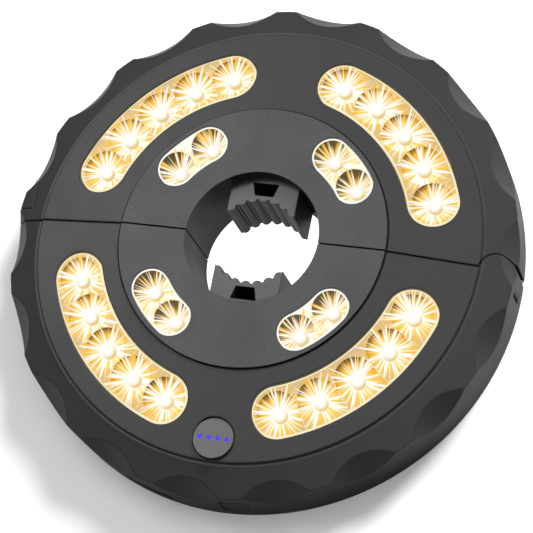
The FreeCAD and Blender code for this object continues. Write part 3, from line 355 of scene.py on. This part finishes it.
def rayTree(tree, glow):
    # Painted light: rays of the lamp's glare and reflection, painted as glow over the plated bowl and its rim. cupX
    # and cupY are the place from the lamp, seen along the photograph's line of sight, over the cup's radius; cupSeed
    # tells cups apart. Uneven rays come from noise read on a ring round the cup; even spikes come from a cosine of
    # the angle.
    # Both must pass a level that rises with the radius, so they taper to a point.
    sideways, upward, seed = (readAttribute(tree, name) for name in ("cupX", "cupY", "cupSeed"))
    out = mathNode(tree, "SQRT", mathNode(tree, "ADD", mathNode(tree, "MULTIPLY", sideways, sideways),
                                          mathNode(tree, "MULTIPLY", upward, upward)))
    angle = mathNode(tree, "ARCTAN2", upward, sideways)
    ring = addNode(tree, "CombineXYZ", inputs={"X": mathNode(tree, "DIVIDE", sideways, out),
                                               "Y": mathNode(tree, "DIVIDE", upward, out), "Z": seed}).outputs[0]
    rampPlace = mathNode(tree, "MULTIPLY", out, 0.5)
    colour = colourRamp(tree, rampPlace, glow["shade"])

    # painted shade: the wall on the side away from the photograph's viewer is darker near its mouth
    side = mathNode(tree, "COSINE", mathNode(tree, "SUBTRACT", angle, math.radians(glow["darkTurn"])))
    dark = mathNode(tree, "MULTIPLY", smoothLevel(tree, side, glow["paintedShadeFrom"], 1.0),
                    smoothLevel(tree, out, glow["paintedShadeStart"], glow["paintedShadeEnd"]))
    colour = mixColours(tree, mathNode(tree, "MULTIPLY", dark, glow["paintedShadeLevel"]), colour,
                        hexColour(glow["paintedShadeColour"]))

    # painted rays of glare: gold ones under white ones
    for rays in (glow["gold"], glow["white"]):
        noise = noiseNode(tree, ring, rays["scale"], detail=1.0)
        start = mapRange(tree, out, *glow["rayRadii"], rays["low"], rays["low"] + rays["rise"], clamp=False)
        level = smoothLevel(tree, noise, start, mathNode(tree, "ADD", start, rays["soft"]))
        colour = mixColours(tree, level, colour, colourRamp(tree, rampPlace, rays["stops"]))

    # a painted glare spike is width * (1 - out / end) wide; the cosine falls by half the square of the angle from its
    # middle
    for turns, phase, width, end in glow["spikes"]:
        wave = mathNode(tree, "COSINE", mathNode(tree, "ADD", mathNode(tree, "MULTIPLY", angle, turns), phase))
        left = mathNode(tree, "MAXIMUM", mathNode(tree, "SUBTRACT", 1.0, mathNode(tree, "DIVIDE", out, end)), 0.0)
        spread = mathNode(tree, "MULTIPLY", mathNode(tree, "DIVIDE", left, out), turns * width / 2)
        fall = mathNode(tree, "MULTIPLY", mathNode(tree, "POWER", spread, 2.0), 0.5)
        level = smoothLevel(tree, mathNode(tree, "ABSOLUTE", wave), mathNode(tree, "SUBTRACT", 1.0, fall), 1.0)
        colour = mixColours(tree, level, colour, hexColour(glow["spikeColour"]))
    return colour


def platedReflector(name, glow):
    # Vacuum-metallised ABS lit by a warm lamp, whose light is painted in as glow: bright white-gold painted rays on a
    # plated bowl whose painted reflection falls to brown at its edge; a flange has a painted pale highlight round its
    # slot.
    material, tree = newMaterial(name)
    colour = rayTree(tree, glow)
    # painted highlight: a pale line along the flange's outline
    if "line" in glow:
        past = smoothLevel(tree, readAttribute(tree, "rimAcross"), *glow["lineFade"])
        colour = mixColours(tree, mathNode(tree, "SUBTRACT", 1.0, past), colour, hexColour(glow["line"]))
    finishMaterial(tree, {
        "Base Color": hexColour(glow["base"]),
        "Metallic": glow["metallic"],
        "Roughness": glow["roughness"],
        "Emission Color": colour,
        "Emission Strength": glow["power"],
    })
    return material


dome = {
    "base": "#35342F",
    "roughness": 0.3,
    "power": 0.95,
    "shade": ((0.4, "#FFFFFF"), (0.8, "#FAF8F0"), (0.95, "#F0E6C4"), (1.0, "#DFC27C")),
}


def litLamp(name):
    # A warm white LED under a milky dome: white in the middle, pearl and then gold at its foot.
    material, tree = newMaterial(name)
    finishMaterial(tree, {
        "Base Color": hexColour(dome["base"]),
        "Roughness": dome["roughness"],
        "Emission Color": colourRamp(tree, readAttribute(tree, "lampOut"), dome["shade"]),
        "Emission Strength": dome["power"],
    })
    return material


plain = {
    "grain": 0.6,                # in mm
    "grainHeight": 0.05,         # in mm
    "depth": 0.05,
    "contrast": 0.08,
}


def plainFinish(name, colour, roughness, metallic=0.0, glow=0.0):
    # A small part's finish: one colour with a faint grain, so that it isn't quite even.
    material, tree = newMaterial(name)
    fine = noiseNode(tree, objectPlace(tree), 1 / (plain["grain"] * mm))
    tone = noiseLevel(tree, fine, 1.0, plain["contrast"])
    bump = addNode(tree, "Bump", inputs={"Strength": plain["depth"], "Distance": plain["grainHeight"] * mm,
                                         "Height": fine})
    finishMaterial(tree, {
        "Base Color": addNode(tree, "HueSaturation", inputs={"Color": hexColour(colour), "Value": tone}).outputs[0],
        "Roughness": roughness,
        "Metallic": metallic,
        "Emission Color": hexColour(colour),
        "Emission Strength": glow,
        "Normal": bump.outputs[0],
    })
    return material


finishes = {
    "housing": mouldedAbs("charcoal moulded ABS", "#252526", edge=0.9),
    "inner_plate": mouldedAbs("grained charcoal ABS", "#2A2A2B", grain=0.6, depth=0.45, contrast=0.3),
    "jaw": mouldedAbs("charcoal nylon", "#262627", 0.28, grain=0.5, depth=0.06, edge=0.5),
    "inner_moulding": mouldedAbs("black moulded ABS", "#1C1C1D", 0.5, grain=0.5, depth=0.05),
    "button": mouldedAbs("grey ABS button", "#434344", 0.36, grain=0.4, depth=0.05),
    "soft_rubber": mouldedAbs("soft black TPE", "#2A2A2B", 0.6, grain=0.6, depth=0.05),
    "reflector": platedReflector("metallised ABS bowl, painted lamp glow", outerGlow),
    "innerBowl": platedReflector("metallised ABS small bowl, painted lamp glow", innerGlow),
    "flange": platedReflector("metallised ABS rim, painted lamp glow", rimGlow),
    "innerFlange": platedReflector("metallised ABS small rim, painted lamp glow", innerRimGlow),
    "lamp": litLamp("warm LED dome"),
    "charge_light": plainFinish("violet-blue light pipe", "#2606E6", 0.45, glow=0.62),
    "board": plainFinish("white solder mask", "#D8DAD6", 0.45),
    "spring_steel": plainFinish("spring steel", "#9C9C9C", 0.3, metallic=1.0),
    "steel": plainFinish("zinc plated steel", "#A6A6A6", 0.35, metallic=1.0),
    "switch": plainFinish("black switch body", "#151515", 0.5),
    "battery": plainFinish("blue PVC sleeve", "#2F5F96", 0.35),
}
slotOf = {part["node"]: part["material_slot"] for part in frame["record"]["subparts"]}
for name, item in frame["nodes"].items():
    item.data.materials.clear()
    item.data.materials.append(finishes[slotOf[name]])
print("materials made")

# Driving sizes in millimetres, as in the part's source. The face is a cone from the seam out to its edge.
face = {"height": 34.0, "seamStep": 1.0, "seamRadius": 52.7, "edgeRadius": 87.3, "edgeHeight": 27.35}
trays = {
    # path: circle that the cups stand on; half, span: the slot's half width and half angle; cup, foot: radii of a
    # bowl's mouth and bottom; drop: how far the flange lies under the face; lampTop: the dome's height
    "outer": {"path": 69.9, "half": 9.65, "span": 26.2, "cups": 5, "cup": 7.92, "foot": 3.2, "drop": 0.35,
              "lampTop": 27.3, "seed": 0.0, "cupFinish": "reflector", "rimFinish": "flange"},
    "inner": {"path": 43.15, "half": 7.35, "span": 10.2, "cups": 2, "cup": 6.75, "foot": 3.0, "drop": 0.35,
              "lampTop": 28.2, "seed": 25.0, "cupFinish": "innerBowl", "rimFinish": "innerFlange"},
    "middles": (45.0, 135.0),    # directions of the slots' middles on the upper half
    "floor": 23.3,               # height of the bowls' bottoms
    # the rays measured from the lamp's bright point are painted glare
    "starHeight": 25.8,          # height of the lamp's bright point, from which the rays are measured
    "slotSeed": 10.0,
    "cupSeed": 1.7,
    # the flange: steps between two cups and round an end, shares of the way from the outline to the mouths,
    # how far both edges are turned down, and the skirt below the outline
    "sideSteps": 60,
    "endSteps": 49,
    "blends": (0.0, 0.05, 0.25, 0.5, 0.75, 0.95, 1.0),
    "lip": 0.25,
    "skirt": 3.0,
    # the bowls: steps round and up, power of the curve, radius of the ring in the middle
    "cupAround": 96,
    "cupSteps": 16,
    "cupCurve": 1.35,
    "cupPoint": 0.01,
    # the domes: steps round and down, radius, height, share by which the foot is wider, radius of the top ring
    "lampAround": 32,
    "lampSteps": 12,
    "lampRadius": 2.7,
    "domeHeight": 1.9,
    "footFlare": 1.04,
    "lampPoint": 0.001,
}


def faceHeight(radius):
    # the cone outside the seam, the flat plate inside it
    coneTop = face["height"] - face["seamStep"]
    fall = (coneTop - face["edgeHeight"]) / (face["edgeRadius"] - face["seamRadius"])
    return np.where(radius > face["seamRadius"], coneTop - fall * (radius - face["seamRadius"]), face["height"])


def fromLamp(x, y, z, tray, centre):
    # the point's place from the lamp, both seen along the photograph's line of sight, over the cup's radius
    slide = (trays["starHeight"] - z) / view["back"][2]
    return ((x + view["back"][0] * slide - centre[0]) / tray["cup"],
            (y + view["back"][1] * slide - centre[1]) / tray["cup"])


def rimGrid(tray, middle, seed):
    # The flange: for each direction round the slot, a point on the slot's outline and one on the cups' mouths,
    # joined by straight rows. Along the sides the direction is an angle round the pole, and a mouth stands at
    # path * cos(gap) plus or minus sqrt(cup^2 - (path * sin(gap))^2), gap being the angle to the nearest cup. At
    # the ends the direction is an angle round the end cup.
    path, half, span, cup = (tray[key] for key in ("path", "half", "span", "cup"))
    centres = np.linspace(-span, span, tray["cups"])
    along = np.linspace(-span, span, trays["sideSteps"] * (tray["cups"] - 1) + 1)
    nearest = centres[np.abs(along[:, None] - centres[None, :]).argmin(axis=1)]
    gap = np.radians(along - nearest)
    reach = np.sqrt(np.maximum(cup ** 2 - (path * np.sin(gap)) ** 2, 0.0))
    mouthPath = np.where(reach > 0, path * np.cos(gap), path)
    outerSide = [np.stack(polar(radius, along), 1) for radius in (path + half, mouthPath + reach)]
    innerSide = [np.stack(polar(radius, along), 1)[::-1] for radius in (path - half, mouthPath - reach)]
    turns = np.radians(np.linspace(0, 180, trays["endSteps"])[1:-1])
    ends = []
    for sign in (1, -1):
        turn = turns * sign + math.radians(span * sign)
        arc = np.stack([np.cos(turn), np.sin(turn)], 1)[::sign]
        ends.append([np.array(polar(path, span * sign)) + arc * radius for radius in (half, cup)])
    outline, mouths = (np.vstack([outerSide[at], ends[0][at], innerSide[at], ends[1][at]]) for at in (0, 1))

    blends = np.array(trays["blends"])[:, None]
    flat = outline + (mouths - outline) * blends[..., None]
    lip = np.where((blends == 0) | (blends == 1), trays["lip"], 0.0)
    height = faceHeight(np.hypot(flat[..., 0], flat[..., 1])) - tray["drop"] - lip
    rows = np.dstack([flat, height])
    xyz = np.concatenate([rows[:1] - [0, 0, trays["skirt"]], rows])
    across = np.vstack([[[0.0]], blends]) * np.linalg.norm(mouths - outline, axis=1)
    angle = math.radians(middle)
    xyz = xyz @ np.array([[math.cos(angle), math.sin(angle), 0], [-math.sin(angle), math.cos(angle), 0], [0, 0, 1]])

    # every point takes its painted rays from the lamp that seems nearest in the photograph
    away = np.stack([np.stack(fromLamp(*np.moveaxis(xyz, -1, 0), tray, polar(path, middle + centre)), -1)
                     for centre in centres], 2)
    nearestCup = np.linalg.norm(away, axis=-1).argmin(axis=-1)
    near = np.take_along_axis(away, nearestCup[..., None, None], axis=2)[:, :, 0]
    return gridMesh(xyz[::-1], {
        "cupX": near[::-1, :, 0],
        "cupY": near[::-1, :, 1],
        "cupSeed": seed + nearestCup[::-1] * trays["cupSeed"],
        "rimAcross": across[::-1],
    })


def cupGrids(tray, middle, seed):
    # Each cup: the radius grows evenly from foot to mouth, and the height rises with the step's share to the power
    # 1.35, from the floor to the mouth, which follows the face.
    grids = []
    steps = np.linspace(0, 1, trays["cupSteps"])
    radius = np.concatenate([[trays["cupPoint"]], tray["foot"] + (tray["cup"] - tray["foot"]) * steps])
    rise = np.concatenate([[0.0], steps ** trays["cupCurve"]])
    for at, centre in enumerate(np.linspace(-tray["span"], tray["span"], tray["cups"])):
        lamp = polar(tray["path"], middle + centre)
        x, y = rings(radius, trays["cupAround"], lamp)
        top = faceHeight(np.hypot(x, y)) - tray["drop"] - trays["lip"]
        z = trays["floor"] + (top - trays["floor"]) * rise[:, None]
        cupX, cupY = fromLamp(x, y, z, tray, lamp)
        cupSeed = np.full(x.shape, seed + at * trays["cupSeed"])
        grids.append(gridMesh(np.stack([x, y, z], -1), {"cupX": cupX, "cupY": cupY, "cupSeed": cupSeed}))
    return grids


def lampGrids(tray, middle):
    # Each lamp: a half ellipse turned round, then a straight foot; lampOut is 0 at the top and 1 at the foot.
    grids = []
    lift = np.linspace(0, np.pi / 2, trays["lampSteps"])
    radius = np.concatenate([trays["lampRadius"] * np.sin(lift) + trays["lampPoint"],
                             [trays["lampRadius"] * trays["footFlare"]]])
    height = np.concatenate([tray["lampTop"] - trays["domeHeight"] + trays["domeHeight"] * np.cos(lift),
                             [trays["floor"]]])
    fade = np.concatenate([np.sin(lift), [1.0]])
    for centre in np.linspace(-tray["span"], tray["span"], tray["cups"]):
        x, y = rings(radius, trays["lampAround"], polar(tray["path"], middle + centre))
        z = np.broadcast_to(height[:, None], x.shape)
        grids.append(gridMesh(np.stack([x, y, z], -1)[::-1],
                              {"lampOut": np.broadcast_to(fade[::-1, None], x.shape)}))
    return grids


for half, turnBy, halfSeed in (("upper", 0.0, 0.0), ("lower", 180.0, 50.0)):
    body = half + "_half"
    lamps = []
    for kind in ("outer", "inner"):
        tray = trays[kind]
        cups, rims = [], []
        for number, middle in enumerate(trays["middles"]):
            seed = trays["slotSeed"] * number + halfSeed + tray["seed"]
            cups += cupGrids(tray, middle + turnBy, seed)
            rims.append(rimGrid(tray, middle + turnBy, seed))
            lamps += lampGrids(tray, middle + turnBy)
        replaced = [half + "_" + kind + "_reflectors"]
        joinGrids(half + "_" + kind + "_cups", cups, finishes[tray["cupFinish"]], body, replaced)
        joinGrids(half + "_" + kind + "_rims", rims, finishes[tray["rimFinish"]], body, replaced)
    joinGrids(half + "_lamp_domes", lamps, finishes["lamp"], body, [half + "_lamps"])
print("reflectors and lamps made")

coils = {
    "wire": 0.4,                 # half the wire, in mm
    "around": 8,
    "steps": 20,                 # per turn
    "point": 0.001,              # radius of the wire's closed ends
    # node: body, joint that presses it, axis, end that stays (0 low, 1 high), turns, length left at the joint's end
    "springs": {
        "upper_jaw_spring": ("upper_half", "upper_jaw_slide", 1, 1, 7, 0.52),
        "lower_jaw_spring": ("lower_half", "lower_jaw_slide", 1, 0, 7, 0.52),
        "latch_spring": ("upper_half", "latch_press", 0, 1, 5, 0.8),
    },
}


def coil(node, body, joint, axis, fixed, turns, keep):
    # A wire wound along one axis of the node's box: a ring carried along a helix, closed to a point at both ends.
    low, high = (np.array(corner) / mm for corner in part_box(node))
    middle, wire = (low + high) / 2, coils["wire"]
    others = [at for at in range(3) if at != axis]
    reach = (high - low)[others].min() / 2 - wire
    along = np.linspace(0, 1, turns * coils["steps"] + 1)
    angle = 2 * np.pi * turns * along
    centre = np.zeros((len(along), 3))
    centre[:, axis] = low[axis] + wire + along * (high[axis] - low[axis] - 2 * wire)
    centre[:, others[0]] = middle[others[0]] + reach * np.cos(angle)
    centre[:, others[1]] = middle[others[1]] + reach * np.sin(angle)
    outward = centre - middle
    outward[:, axis] = 0
    outward /= np.linalg.norm(outward, axis=1)[:, None]
    axial = np.zeros(3)
    axial[axis] = 1
    section = np.linspace(0, 2 * np.pi, coils["around"], endpoint=False)
    thickness = np.full(len(along), wire)
    thickness[[0, -1]] = coils["point"]
    ring = outward[:, None] * np.cos(section)[None, :, None] + axial * np.sin(section)[None, :, None]
    xyz = centre[:, None] + ring * thickness[:, None, None]
    piece = joinGrids(node + "_coil", [gridMesh(xyz)], finishes["spring_steel"], body, [node])
    anchor = middle.copy()
    anchor[axis] = high[axis] if fixed else low[axis]
    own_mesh(piece)


for node, row in coils["springs"].items():
    coil(node, *row)
print("springs wound")
